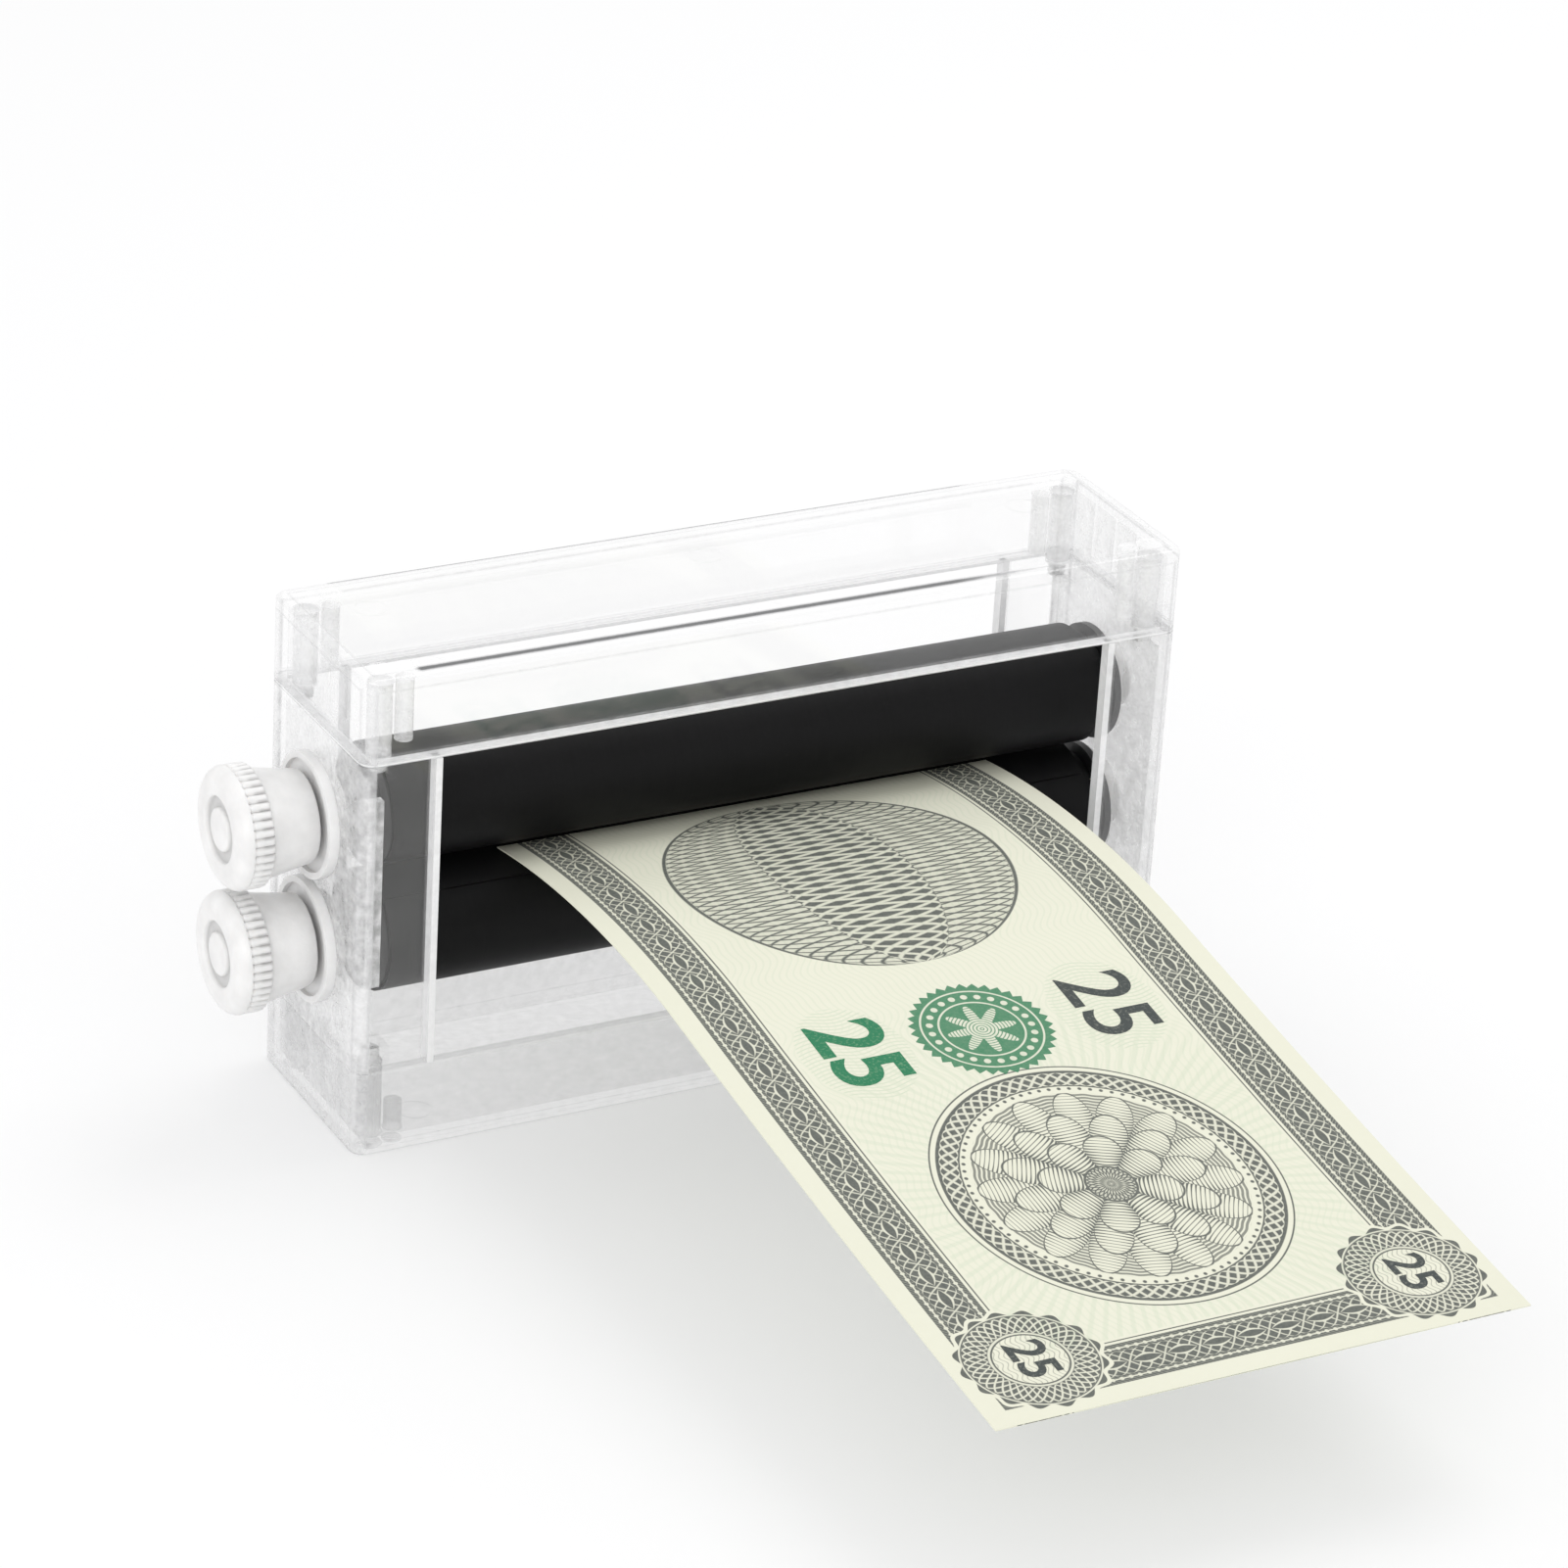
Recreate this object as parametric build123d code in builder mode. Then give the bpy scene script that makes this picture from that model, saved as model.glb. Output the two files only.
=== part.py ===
from build123d import *
from math import acos, atan2, cos, degrees, pi, radians, sin
import os

# Money printing toy: a clear plastic box that carries two rollers, one above the other.
# One black sheet is wound on both and crosses between them, so that turning a knob
# winds paper in at the back and a play note out at the front.
# Millimetres. +X runs along the rollers, the knobs are at -X, and the note comes out
# towards -Y. The origin is the centre of the face that the box rests on.

# ---- driving dimensions ----------------------------------------------------------------

# box: a cover and a tray, alike but for their stubs, with two side frames between them
box_length = 108.0
box_depth = 27.5
box_height = 61.5
cover_height = 11.0
wall = 1.5
corner_radius = 2.0
edge_fillet = 0.6
seam_chamfer = 0.25
flange_width = 9.9

# corner posts of cover and tray, with the pins that enter the side frames
post_radius = 1.5
post_inset = 1.7
pin_radius = 1.1
pin_length = 1.9
pin_clearance = 0.04
socket_size = 3.4
socket_height = 2.4
stub_radius = 1.1
tray_stub_height = 3.6
cover_stub_height = 7.8
stub_offset = 3.1

# moulding details of cover and tray
rib_width = 0.8
rib_depth = 0.6
rib_height = 7.0
rib_spacing = 5.0
ring_radius = 2.2
ring_width = 0.3
ring_height = 0.15
ring_spacing_x = 43.7
ring_spacing_y = 16.4

# rollers
roller_pitch = 16.2
nip_clearance = 0.3
winding_radius = roller_pitch / 2 - nip_clearance
tube_radius = 5.4
tube_wall = 1.2
plug_depth = 8.0
plug_flange = 0.9
plug_flange_radius = 7.2
press_clearance = 0.03
running_clearance = 0.05
side_play = 0.2
left_journal_radius = 3.0
right_journal_radius = 2.5

# black sheet: wound on both rollers, with one strand through the nip
sheet_thickness = 0.2
sheet_inset = 0.2
sheet_clearance = 0.12
sheet_taper = 0.5
half_turns = 6
turn_step = 0.65
strand_wrap = 40.0
tape_thickness = 0.1
tape_angle = 60.0

# left side: inner bearing bracket, bushes in the wall, knobs outside
bracket_gap = 2.6
bracket_plate = 1.5
bracket_width = 14.8
bracket_margin = 4.0
bracket_height = roller_pitch + 2 * bracket_margin
bracket_web = 1.2
bracket_hole_clearance = 0.4
bush_radius = 5.5
bush_flange_radius = 7.6
bush_flange = 0.6
bush_lip = 0.6
bush_lip_width = 0.8
bush_overhang = 0.6
knob_radius = 7.5
knob_projection = 12.0
knob_band = 4.2
knob_rim = 1.8
knob_neck_radius = 6.7
knob_collar_radius = 5.6
knob_fillet = 1.8
flute_count = 42
flute_depth = 0.4
groove_radius = 4.0
groove_boss_radius = 2.6
groove_depth = 0.7
knob_face_wall = 2.2
knob_shaft_radius = 2.3
shaft_recess = 0.15
key_width = 1.6
key_length = 2.0
mark_radius = 1.6
mark_width = 0.3
mark_height = 0.2
mark_y = -8.2
mark_z = 16.4

# right side: a bearing block for each roller
block_width = 8.6
block_height = 11.4
block_corner = 2.0
block_thickness = 1.6
spigot_radius = 3.8
blind_wall = 0.8

# play note: its front stretch is out, the rest is still wound on the upper roller
note_width = 66.3
note_length = 156.0
note_out = 124.5
note_thickness = 0.15
note_offset = 2.3
note_tail = 1.5
note_lift = 0.12
note_rise = 10.0
note_fall = 9.5
note_crest_radius = 140.0
note_sweep_radius = 1400.0

# ---- places worked out from them -------------------------------------------------------

end_x = box_length / 2
side_y = box_depth / 2
inner_x = end_x - wall
inner_y = side_y - wall
frame_height = box_height - 2 * cover_height
nip_z = box_height / 2
upper_z = nip_z + roller_pitch / 2
lower_z = nip_z - roller_pitch / 2
corner_x = inner_x - post_inset
corner_y = inner_y - post_inset

bracket_x = -inner_x + bracket_gap
tube_left = bracket_x + bracket_plate + side_play + plug_flange
block_x = inner_x - block_thickness
tube_right = block_x - side_play - plug_flange
tube_length = tube_right - tube_left
sheet_left = tube_left + sheet_inset
sheet_width = tube_length - 2 * sheet_inset
outer_sheet_width = sheet_width - sheet_taper * (half_turns - 1)
plug_radius = tube_radius - tube_wall - press_clearance

bush_face_x = -end_x - bush_flange - bush_lip
knob_face_x = -end_x - knob_projection
knob_end_x = bush_face_x - side_play
shaft_end_x = knob_face_x + knob_face_wall + shaft_recess
pin_end_x = end_x - blind_wall - side_play

sheet_middle = winding_radius - sheet_thickness / 2
strand_radius = winding_radius + sheet_clearance + sheet_thickness / 2
strand_angle = degrees(acos(strand_radius / (roller_pitch / 2)))
note_right = note_offset + note_width / 2
note_travel = note_length - note_out

LEFT_TO_RIGHT = (1, 0, 0)


def across(x, z=0.0):
    """Plane square to the rollers at x: its own X runs to the back, its Y up."""
    return Plane(origin=(x, 0, z), x_dir=(0, 1, 0), z_dir=LEFT_TO_RIGHT)


def corners(dx=0.0):
    """Places of the four corner posts, or of stubs that stand dx further in."""
    return Locations(*[(sx * (corner_x - dx), sy * corner_y) for sx in (-1, 1) for sy in (-1, 1)])


# ---- base tray and top cover -----------------------------------------------------------



def shell(stub_height):
    """Open shell of the box, as it lies with its flat face down."""
    with BuildPart() as moulding:
        with BuildSketch() as plan:
            RectangleRounded(box_length, box_depth, corner_radius)
        extrude(amount=cover_height)
        fillet(moulding.faces().sort_by(Axis.Z)[0].edges(), edge_fillet)
        chamfer(moulding.faces().sort_by(Axis.Z)[-1].edges(), seam_chamfer)
        with BuildSketch(Plane.XY.offset(wall)) as hollow:
            RectangleRounded(2 * inner_x, 2 * inner_y, corner_radius - wall)
        extrude(amount=cover_height, mode=Mode.SUBTRACT)
        # posts that carry the side frames, each with a pin
        with BuildSketch(Plane.XY.offset(wall)) as posts:
            with corners():
                Circle(post_radius)
        extrude(amount=cover_height - wall)
        with BuildSketch(Plane.XY.offset(cover_height)) as pins:
            with corners():
                Circle(pin_radius)
        extrude(amount=pin_length)
        fillet(moulding.faces().group_by(Axis.Z)[-1].edges(), pin_radius / 2)
        with BuildSketch(Plane.XY.offset(wall)) as stubs:
            with corners(stub_offset):
                Circle(stub_radius)
        extrude(amount=stub_height)
        # stiffening ribs inside both end walls
        with BuildSketch(Plane.XY.offset(wall)) as end_ribs:
            with GridLocations(2 * inner_x - rib_depth, rib_spacing, 2, 3):
                Rectangle(rib_depth, rib_width)
        extrude(amount=rib_height)
        # ring marks that the ejector pins leave
        with BuildSketch(Plane.XY.offset(wall)) as ring_marks:
            with GridLocations(ring_spacing_x, ring_spacing_y, 3, 2):
                Circle(ring_radius)
                Circle(ring_radius - ring_width, mode=Mode.SUBTRACT)
        extrude(amount=ring_height)
    return moulding


base_tray = shell(tray_stub_height)

with BuildPart() as top_cover:
    add(mirror(shell(cover_stub_height).part, about=Plane.XY.offset(nip_z)))


# ---- side frames -----------------------------------------------------------------------


def frame_channel(side):
    """Upright channel of one side frame, with a pin socket in each of its corners."""
    with BuildPart() as channel:
        with BuildSketch(Plane.XY.offset(cover_height)) as plan:
            RectangleRounded(box_length, box_depth, corner_radius)
            RectangleRounded(2 * inner_x, 2 * inner_y, corner_radius - wall, mode=Mode.SUBTRACT)
            with Locations((-side * flange_width / 2, 0)):
                Rectangle(box_length - flange_width, box_depth, mode=Mode.SUBTRACT)
        extrude(amount=frame_height)
        socket_centre = (side * (inner_x - socket_size / 2), inner_y - socket_size / 2)
        for z in (cover_height, box_height - cover_height - socket_height):
            with BuildSketch(Plane.XY.offset(z)) as sockets:
                with Locations(socket_centre, (socket_centre[0], -socket_centre[1])):
                    Rectangle(socket_size, socket_size)
            extrude(amount=socket_height)
        with BuildSketch(Plane.XY.offset(cover_height)) as pin_holes:
            with Locations((side * corner_x, corner_y), (side * corner_x, -corner_y)):
                Circle(pin_radius + pin_clearance)
        extrude(amount=frame_height, mode=Mode.SUBTRACT)
    return channel


with BuildPart() as left_frame:
    add(frame_channel(-1).part)
    with BuildSketch(across(-end_x)) as bush_holes:
        with Locations((0, upper_z), (0, lower_z)):
            Circle(bush_radius + press_clearance)
    extrude(amount=wall, mode=Mode.SUBTRACT)
    with BuildSketch(across(-end_x - mark_height)) as mould_mark:
        with Locations((mark_y, mark_z)):
            Circle(mark_radius)
            Circle(mark_radius - mark_width, mode=Mode.SUBTRACT)
    extrude(amount=mark_height)

with BuildPart() as right_frame:
    add(frame_channel(1).part)
    with BuildSketch(across(inner_x)) as spigot_holes:
        with Locations((0, upper_z), (0, lower_z)):
            Circle(spigot_radius + press_clearance)
    extrude(amount=wall, mode=Mode.SUBTRACT)

with BuildPart() as left_bearing_bracket:
    # a plate in front of the left wall, on two upright webs that are cemented to the wall
    with BuildSketch(across(bracket_x, nip_z)) as bracket_face:
        Rectangle(bracket_width, bracket_height)
        with Locations((0, roller_pitch / 2), (0, -roller_pitch / 2)):
            Circle(left_journal_radius + bracket_hole_clearance, mode=Mode.SUBTRACT)
    extrude(amount=bracket_plate)
    with BuildSketch(across(-inner_x, nip_z)) as webs:
        with GridLocations(bracket_width - bracket_web, 0, 2, 1):
            Rectangle(bracket_web, bracket_height)
    extrude(amount=bracket_gap)


# ---- rollers ---------------------------------------------------------------------------


def left_bush(z):
    """Flanged bush in the left wall, dished outside, on which a roller's journal runs."""
    with BuildPart() as bush:
        with BuildSketch(across(bush_face_x, z)) as lip:
            Circle(bush_flange_radius)
            Circle(bush_flange_radius - bush_lip_width, mode=Mode.SUBTRACT)
        extrude(amount=bush_lip)
        with BuildSketch(across(-end_x - bush_flange, z)) as flange:
            Circle(bush_flange_radius)
        extrude(amount=bush_flange)
        with BuildSketch(across(-end_x, z)) as barrel:
            Circle(bush_radius)
        extrude(amount=wall + bush_overhang)
        with BuildSketch(across(bush_face_x, z)) as bore:
            Circle(left_journal_radius + running_clearance)
        extrude(amount=bush_lip + bush_flange + wall + bush_overhang, mode=Mode.SUBTRACT)
    return bush


def right_block(z):
    """Bearing block on the right wall, with a spigot through it and a blind bore."""
    with BuildPart() as bearing:
        with BuildSketch(across(block_x, z)) as block:
            RectangleRounded(block_width, block_height, block_corner)
        extrude(amount=block_thickness)
        with BuildSketch(across(inner_x, z)) as spigot:
            Circle(spigot_radius)
        extrude(amount=wall)
        with BuildSketch(across(block_x, z)) as bore:
            Circle(right_journal_radius + running_clearance)
        extrude(amount=end_x - blind_wall - block_x, mode=Mode.SUBTRACT)
    return bearing


def drive_plug(z):
    """Left plug of a roller tube, with the journal and the shaft that the knob sits on."""
    with BuildPart() as driver:
        with BuildSketch(across(tube_left, z)) as plug:
            Circle(plug_radius)
        extrude(amount=plug_depth)
        with BuildSketch(across(tube_left - plug_flange, z)) as flange:
            Circle(plug_flange_radius)
        extrude(amount=plug_flange)
        with BuildSketch(across(knob_end_x, z)) as journal:
            Circle(left_journal_radius)
        extrude(amount=tube_left - plug_flange - knob_end_x)
        with BuildSketch(across(knob_end_x - key_length, z)) as key:
            Rectangle(2 * left_journal_radius, key_width)
        extrude(amount=key_length)
        with BuildSketch(across(shaft_end_x, z)) as shaft:
            Circle(knob_shaft_radius)
        extrude(amount=knob_end_x - shaft_end_x)
    return driver


def end_plug(z):
    """Right plug of a roller tube, with the short journal in the bearing block."""
    with BuildPart() as stopper:
        with BuildSketch(across(tube_right - plug_depth, z)) as plug:
            Circle(plug_radius)
        extrude(amount=plug_depth)
        with BuildSketch(across(tube_right, z)) as flange:
            Circle(plug_flange_radius)
        extrude(amount=plug_flange)
        with BuildSketch(across(tube_right + plug_flange, z)) as journal:
            Circle(right_journal_radius)
        extrude(amount=pin_end_x - tube_right - plug_flange)
    return stopper


def roller_tube(z):
    """Plain tube that the sheet is wound on."""
    with BuildPart() as tube:
        with BuildSketch(across(tube_left, z)) as section:
            Circle(tube_radius)
            Circle(tube_radius - tube_wall, mode=Mode.SUBTRACT)
        extrude(amount=tube_length)
    return tube


def wound_sheet(z, start):
    """The sheet's turns: half circles that shrink by half a step each, from start inwards.

    The sheet's right edge is cut askew, so each half turn is wider than the one over it.
    """
    with BuildPart() as winding:
        for k in range(half_turns):
            angle = start + 180 * k
            radius = sheet_middle - turn_step * (2 * k + 1) / 4
            centre = Vector(turn_step / 4, 0).rotate(Axis.Z, angle)
            with BuildSketch(across(sheet_left, z)) as section:
                with BuildLine() as half_turn:
                    outer = CenterArc(centre, radius + sheet_thickness / 2, angle, 180)
                    inner = CenterArc(centre, radius - sheet_thickness / 2, angle, 180)
                    Line(outer @ 0, inner @ 0)
                    Line(outer @ 1, inner @ 1)
                make_face()
            extrude(amount=outer_sheet_width + k * sheet_taper)
    return winding


def sheet_tape(z, start):
    """Adhesive strip on the tube, under the sheet's inner end."""
    with BuildPart() as tape:
        inner_end = start + 180 * half_turns
        with BuildSketch(across(sheet_left, z)) as section:
            with BuildLine() as strip:
                low = CenterArc((0, 0), tube_radius, inner_end - tape_angle, tape_angle)
                high = CenterArc((0, 0), tube_radius + tape_thickness, inner_end - tape_angle, tape_angle)
                Line(low @ 0, high @ 0)
                Line(low @ 1, high @ 1)
            make_face()
        extrude(amount=sheet_width)
    return tape


def knob(z):
    """Knob with a rounded rim, a fluted band and a tapered neck, keyed on the roller's shaft."""
    with BuildPart() as knob_body:
        with BuildSketch(across(knob_face_x, z)) as disc:
            Circle(knob_radius)
        head = extrude(amount=knob_band)
        fillet(head.faces().sort_by(Axis.X)[0].edges(), knob_fillet)
        with BuildSketch(across(knob_face_x + knob_rim, z)) as flutes:
            with PolarLocations(knob_radius, flute_count):
                RegularPolygon(flute_depth, 4)
        extrude(amount=knob_band - knob_rim, mode=Mode.SUBTRACT)
        neck_length = knob_end_x - knob_face_x - knob_band
        with BuildSketch(across(knob_face_x + knob_band, z)) as neck:
            Circle(knob_neck_radius)
        slope = degrees(atan2(knob_neck_radius - knob_collar_radius, neck_length))
        extrude(amount=neck_length, taper=slope)
        with BuildSketch(across(knob_face_x, z)) as groove:
            Circle(groove_radius)
            Circle(groove_boss_radius, mode=Mode.SUBTRACT)
        extrude(amount=groove_depth, mode=Mode.SUBTRACT)
        with BuildSketch(across(knob_face_x + knob_face_wall, z)) as bore:
            Circle(knob_shaft_radius + press_clearance)
        extrude(amount=knob_end_x - knob_face_x - knob_face_wall, mode=Mode.SUBTRACT)
        with BuildSketch(across(knob_end_x - key_length, z)) as keyway:
            Rectangle(
                2 * (left_journal_radius + press_clearance),
                key_width + 2 * press_clearance,
            )
        extrude(amount=key_length, mode=Mode.SUBTRACT)
    return knob_body


# Each maker below builds one piece at a roller's height. The sheet leaves the upper
# roller at its lower back and joins the lower roller at its upper front.
roller_heights = {"upper": upper_z, "lower": lower_z}
sheet_starts = {"upper": -90 + strand_wrap, "lower": 90 + strand_wrap}
pieces = {
    "base_tray": base_tray,
    "top_cover": top_cover,
    "left_frame": left_frame,
    "right_frame": right_frame,
    "left_bearing_bracket": left_bearing_bracket,
}
plain_makers = {
    "left_bush": left_bush,
    "right_bearing_block": right_block,
    "roller_tube": roller_tube,
    "drive_plug": drive_plug,
    "end_plug": end_plug,
    "knob": knob,
}
sheet_makers = {"sheet_winding": wound_sheet, "sheet_tape": sheet_tape}

for level, z in roller_heights.items():
    for name, make in plain_makers.items():
        pieces[level + "_" + name] = make(z)
    for name, make in sheet_makers.items():
        pieces[level + "_" + name] = make(z, sheet_starts[level])


# ---- strand of the sheet through the nip -----------------------------------------------


def strand_edge(shift):
    """One face of the strand, shift away from its middle: round, straight, round."""
    upper = CenterArc(
        (0, roller_pitch / 2),
        strand_radius - shift,
        -90 + strand_angle,
        strand_wrap - strand_angle,
    )
    lower = CenterArc(
        (0, -roller_pitch / 2),
        strand_radius + shift,
        90 + strand_angle,
        strand_wrap - strand_angle,
    )
    Line(upper @ 0, lower @ 0)
    return upper @ 1, lower @ 1


with BuildPart() as sheet_strand:
    with BuildSketch(across(sheet_left, nip_z)) as strand_section:
        with BuildLine() as strand_outline:
            top_ends = strand_edge(sheet_thickness / 2)
            bottom_ends = strand_edge(-sheet_thickness / 2)
            Line(top_ends[0], bottom_ends[0])
            Line(top_ends[1], bottom_ends[1])
        make_face()
    extrude(amount=outer_sheet_width)
pieces["sheet_strand"] = sheet_strand


# ---- play note -------------------------------------------------------------------------

note_plane = Plane(origin=(note_right, 0, nip_z), x_dir=(0, -1, 0), z_dir=(-1, 0, 0))
crest_length = note_crest_radius * radians(note_rise + note_fall)
sweep_angle = degrees((note_out - note_tail - crest_length) / note_sweep_radius)

with BuildPart() as play_note:
    with BuildSketch(note_plane) as note_section:
        with BuildLine() as note_path:
            crest = JernArc(
                (note_tail, note_lift),
                (cos(radians(note_rise)), sin(radians(note_rise))),
                note_crest_radius,
                -(note_rise + note_fall),
            )
            JernArc(crest @ 1, crest % 1, note_sweep_radius, sweep_angle)
            offset(amount=note_thickness, side=Side.LEFT)
        make_face()
    extrude(amount=note_width)
pieces["play_note"] = play_note


# ---- output ----------------------------------------------------------------------------

os.makedirs("parts", exist_ok=True)
for name, piece in pieces.items():
    piece.part.label = name
    export_step(piece.part, "parts/" + name + ".step")


def spiral_point(start, t):
    """Point of the sheet's middle line after t half turns."""
    k = min(int(t), half_turns - 1)
    angle = radians(start + 180 * t)
    centre_angle = radians(start + 180 * k)
    radius = sheet_middle - turn_step * (2 * k + 1) / 4
    return (
        turn_step / 4 * cos(centre_angle) + radius * cos(angle),
        turn_step / 4 * sin(centre_angle) + radius * sin(angle),
    )


samples_per_turn = 180
turn_gaps = []
for i in range(samples_per_turn * (half_turns - 2) // 2 + 1):
    t = 2 * i / samples_per_turn
    outer = Vector(*spiral_point(0, t))
    inner = Vector(*spiral_point(0, t + 2))
    turn_gaps.append((outer - inner).length - sheet_thickness)
wound_length = sum(pi * (sheet_middle - turn_step * (2 * k + 1) / 4) for k in range(half_turns))
print("least gap between the sheet's turns", round(min(turn_gaps), 3))
print("sheet wound on each roller", round(wound_length, 1))
print("sheet width", round(outer_sheet_width, 2), "to", round(sheet_width, 2))
print("note travel", round(note_travel, 2))
print("knob travel in degrees", round(degrees(note_travel / winding_radius), 2))
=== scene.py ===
from math import acos, cos, pi, radians, sin, sqrt

import bmesh
import bpy
from mathutils import Matrix, Vector


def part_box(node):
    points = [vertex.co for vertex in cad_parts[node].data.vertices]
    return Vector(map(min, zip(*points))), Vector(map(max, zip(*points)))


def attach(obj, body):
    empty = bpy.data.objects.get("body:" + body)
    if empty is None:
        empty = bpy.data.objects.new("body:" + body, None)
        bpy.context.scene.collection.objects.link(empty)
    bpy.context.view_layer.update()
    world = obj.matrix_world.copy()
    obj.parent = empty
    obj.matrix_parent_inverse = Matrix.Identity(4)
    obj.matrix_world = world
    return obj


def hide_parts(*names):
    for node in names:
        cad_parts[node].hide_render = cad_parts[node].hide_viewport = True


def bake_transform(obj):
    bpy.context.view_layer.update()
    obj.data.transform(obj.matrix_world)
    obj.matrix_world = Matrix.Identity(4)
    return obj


# The look of a money printing toy, in metres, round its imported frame: +X along the
# rollers, the knobs at -X, and the note comes out towards -Y.
MM = 0.001
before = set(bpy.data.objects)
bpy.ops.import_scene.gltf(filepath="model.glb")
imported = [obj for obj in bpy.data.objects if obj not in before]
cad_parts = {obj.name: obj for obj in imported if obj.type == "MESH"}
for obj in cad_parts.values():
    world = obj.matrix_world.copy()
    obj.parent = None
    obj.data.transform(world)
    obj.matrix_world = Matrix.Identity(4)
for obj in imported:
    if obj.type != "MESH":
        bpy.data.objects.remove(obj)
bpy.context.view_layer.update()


# ---- Camera ----------------------------------------------------------------------------
# A long lens from the front left and above, as far off as the box's edges in the photograph
# say. The angles and the place come from a least-squares fit to the box's corners.
camera_place = Vector((-0.3091, -0.5726, 0.3476))
camera_azimuth = radians(-28.988)
camera_elevation = radians(25.753)
camera_roll = radians(3.481)
lens_mm = 137.66
sensor_mm = 36.0


def add_object(name, data):
    """Link a new object that holds data into the scene."""
    obj = bpy.data.objects.new(name, data)
    bpy.context.scene.collection.objects.link(obj)
    return obj


to_camera = Vector(
    (
        sin(camera_azimuth) * cos(camera_elevation),
        -cos(camera_azimuth) * cos(camera_elevation),
        sin(camera_elevation),
    )
)
level_right = (-to_camera).cross(Vector((0, 0, 1))).normalized()
level_up = level_right.cross(-to_camera)
image_right = cos(camera_roll) * level_right + sin(camera_roll) * level_up
image_up = cos(camera_roll) * level_up - sin(camera_roll) * level_right
camera = add_object("camera", bpy.data.cameras.new("camera"))
camera.data.lens = lens_mm
camera.data.sensor_width = sensor_mm
camera.matrix_world = Matrix.Translation(camera_place) @ Matrix(
    (image_right, image_up, to_camera)
).transposed().to_4x4()
bpy.context.scene.camera = camera
bpy.context.scene.view_settings.view_transform = "Standard"


# ---- Shader notation -------------------------------------------------------------------
# Every finish below is a node tree written as arithmetic: a Value wraps a socket, and each
# operator on it adds a Math node. Finish.node adds any other node, and Growth does the same
# for Geometry Nodes.
def feed(tree, socket, value):
    """Link a Value into an input socket, or set the socket to a plain value."""
    if isinstance(value, Value):
        tree.links.new(value.socket, socket)
    elif hasattr(socket.default_value, "__len__") and len(socket.default_value) == 4:
        socket.default_value = (*value, 1.0) if len(value) == 3 else value
    else:
        socket.default_value = value


class Value:
    """One output socket of a node tree, on which arithmetic adds Math nodes."""

    def __init__(self, tree, socket):
        self.tree = tree
        self.socket = socket

    def math(self, operation, *values):
        node = self.tree.nodes.new("ShaderNodeMath")
        node.operation = operation
        for socket, value in zip(node.inputs, values):
            feed(self.tree, socket, value)
        return Value(self.tree, node.outputs[0])

    def __add__(self, other):
        return self.math("ADD", self, other)

    def __radd__(self, other):
        return self.math("ADD", other, self)

    def __sub__(self, other):
        return self.math("SUBTRACT", self, other)

    def __rsub__(self, other):
        return self.math("SUBTRACT", other, self)

    def __mul__(self, other):
        return self.math("MULTIPLY", self, other)

    def __rmul__(self, other):
        return self.math("MULTIPLY", other, self)

    def __truediv__(self, other):
        return self.math("DIVIDE", self, other)

    def __neg__(self):
        return self.math("MULTIPLY", self, -1.0)

    def __abs__(self):
        return self.math("ABSOLUTE", self)

    def sine(self):
        return self.math("SINE", self)

    def cosine(self):
        return self.math("COSINE", self)

    def fraction(self):
        return self.math("FRACT", self)

    def root(self):
        return self.math("SQRT", self)

    def least(self, other):
        return self.math("MINIMUM", self, other)

    def most(self, other):
        return self.math("MAXIMUM", self, other)

    def angle(self, across):
        return self.math("ARCTAN2", self, across)

    def step(self, edge, soft):
        """0 below edge - soft, 1 above edge + soft, and a ramp between."""
        node = self.tree.nodes.new("ShaderNodeMapRange")
        node.clamp = True
        for name, value in (("Value", self), ("From Min", edge - soft), ("From Max", edge + soft)):
            feed(self.tree, node.inputs[name], value)
        return Value(self.tree, node.outputs[0])

    def below(self, edge, soft):
        return 1 - self.step(edge, soft)


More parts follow.
